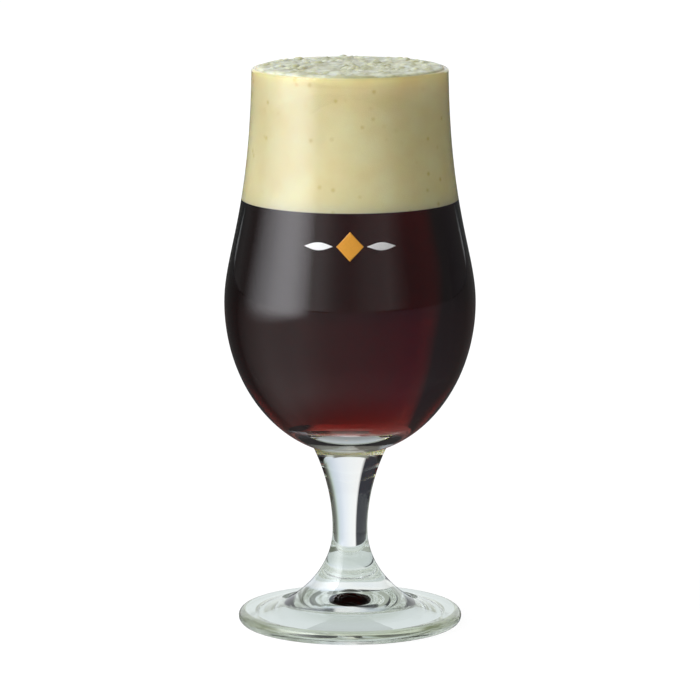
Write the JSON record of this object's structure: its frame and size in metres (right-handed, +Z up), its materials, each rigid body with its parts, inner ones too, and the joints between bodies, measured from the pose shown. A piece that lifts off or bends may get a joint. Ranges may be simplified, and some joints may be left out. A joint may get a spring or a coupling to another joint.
{
  "type": "footed beer glass",
  "caption": "Tulip-shaped beer glass with a solid stem on a round foot, filled with dark beer under a deep cream head of foam, with a small printed ornament on the bowl.",
  "frame": {"origin": "centre of the foot's underside, on the surface that the glass stands on", "axes": "+Z up along the axis of the glass; the printed side faces -Y"},
  "size_m": [0.0798, 0.0798, 0.179],
  "materials": {
    "clear_glass": "clear, fire polished",
    "dark_beer": "dark red-brown liquid",
    "beer_foam": "matte froth",
    "amber_ink": "fired ink, satin",
    "white_ink": "fired ink, satin"
  },
  "bodies": {
    "root": {"foot": "clear_glass", "stem": "clear_glass", "bowl": "clear_glass", "beer": "dark_beer", "foam_head": "beer_foam", "print_lozenge": "amber_ink", "print_leaf_left": "white_ink", "print_leaf_right": "white_ink"}
  },
  "joints": []
}
